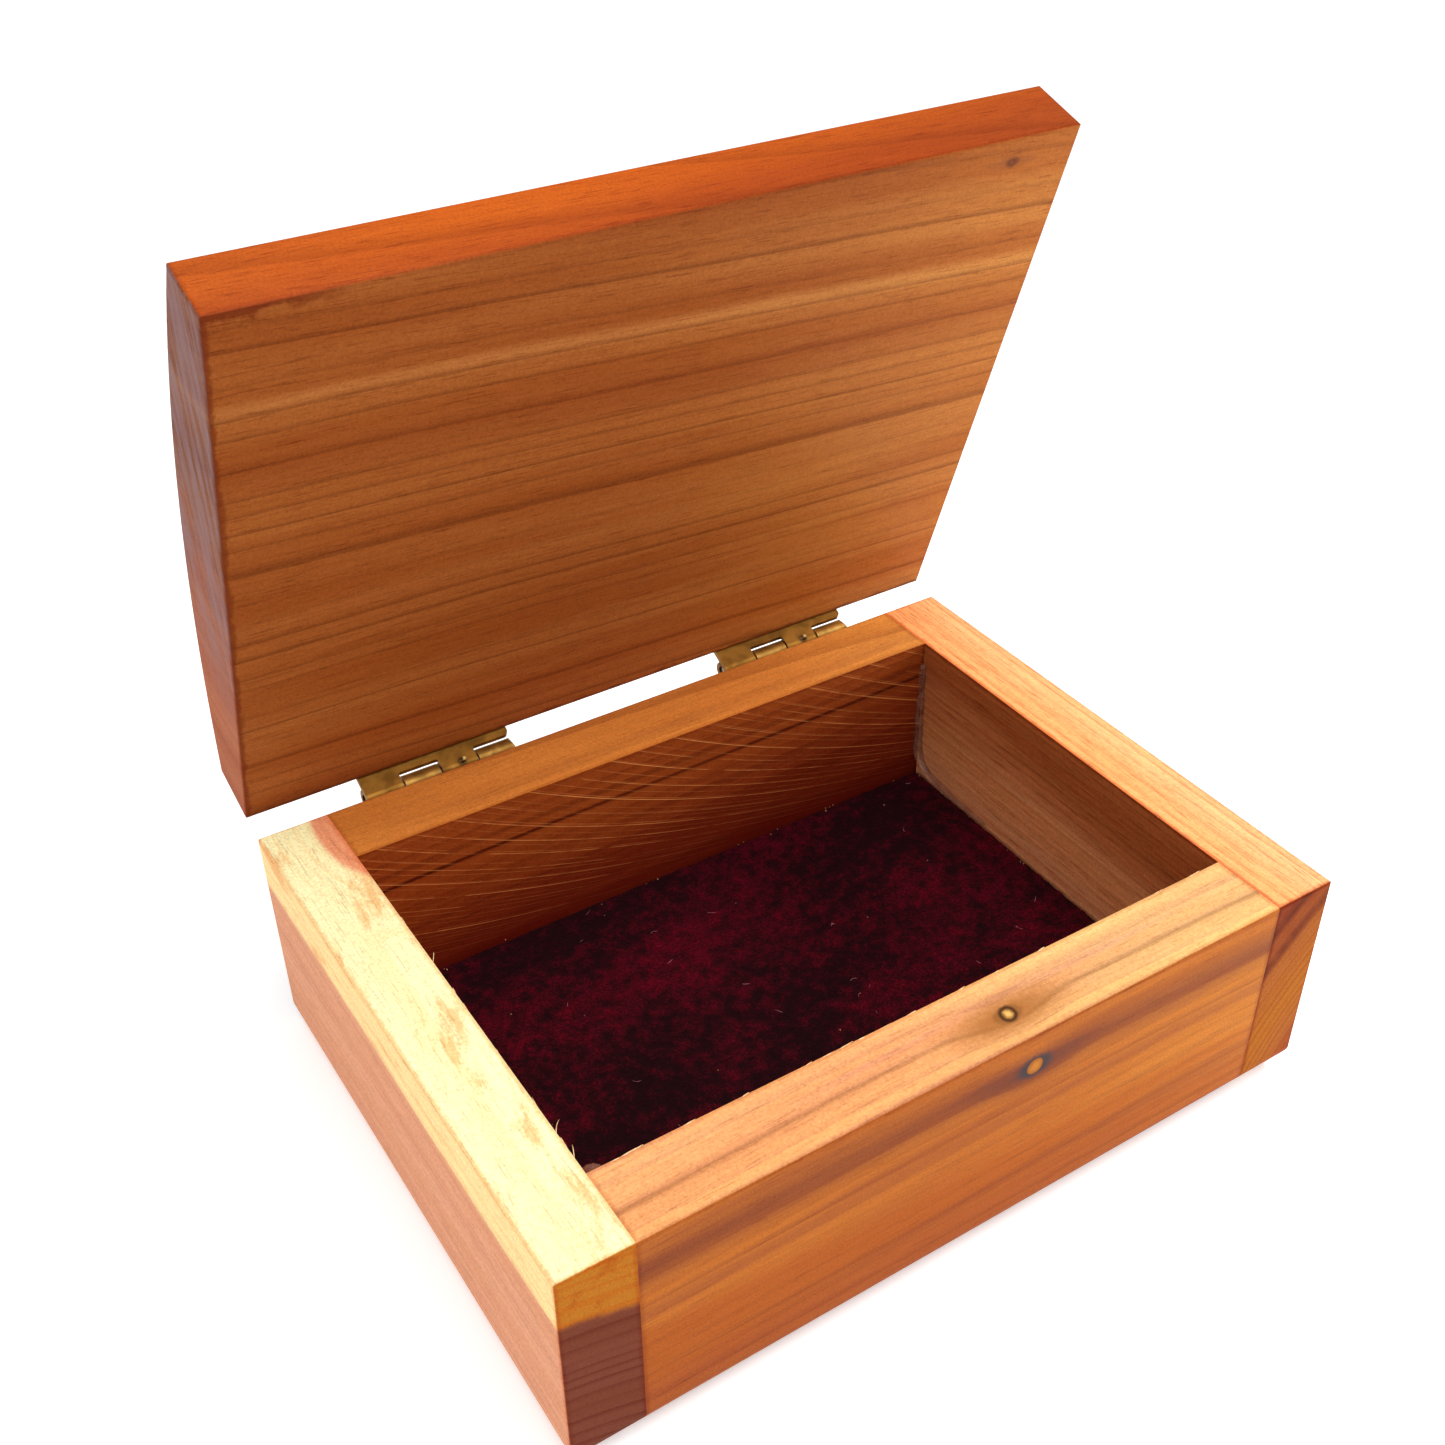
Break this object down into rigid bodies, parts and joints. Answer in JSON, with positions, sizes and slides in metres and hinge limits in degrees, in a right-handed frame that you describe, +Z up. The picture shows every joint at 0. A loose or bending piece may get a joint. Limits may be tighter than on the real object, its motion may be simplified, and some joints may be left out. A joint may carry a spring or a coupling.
{
  "type": "wooden keepsake box",
  "caption": "Rectangular lacquered cedar keepsake box with a domed lid on rolled brass hinges, a rounded foot and a velvet-covered floor.",
  "frame": {"origin": "centre of the box's underside, where it stands", "axes": "+Z up, the front faces -Y and the hinges are at +Y, +X to the right as seen from the front"},
  "size_m": [0.1524, 0.1296, 0.1572],
  "materials": {
    "left_end_board": "gloss lacquer",
    "right_end_board": "gloss lacquer",
    "front_board": "gloss lacquer",
    "back_board": "gloss lacquer outside, sawn inside",
    "bottom_panel": "plain",
    "lining_card": "pale card",
    "velvet_lining": "wine velvet",
    "lid_board": "gloss lacquer",
    "hinge_brass": "aged brass",
    "pin_steel": "plain",
    "nail_brass": "aged brass"
  },
  "bodies": {
    "box": {"left_end_board": "left_end_board", "right_end_board": "right_end_board", "front_board": "front_board", "back_board": "back_board", "bottom_panel": "bottom_panel", "lining_card": "lining_card", "velvet_lining": "velvet_lining", "left_hinge_box_leaf": "hinge_brass", "left_hinge_box_nails": "nail_brass", "right_hinge_box_leaf": "hinge_brass", "right_hinge_box_nails": "nail_brass"},
    "lid": {"lid_board": "lid_board", "left_hinge_lid_leaf": "hinge_brass", "left_hinge_pin": "pin_steel", "left_hinge_lid_nails": "nail_brass", "right_hinge_lid_leaf": "hinge_brass", "right_hinge_pin": "pin_steel", "right_hinge_lid_nails": "nail_brass"}
  },
  "joints": [
    {"name": "lid_hinge", "type": "hinge", "parent": "box", "child": "lid", "pos_m": [0, 0.05965, 0.0423], "axis": [1, 0, 0], "range_deg": [-108.3, 71.7]}
  ]
}
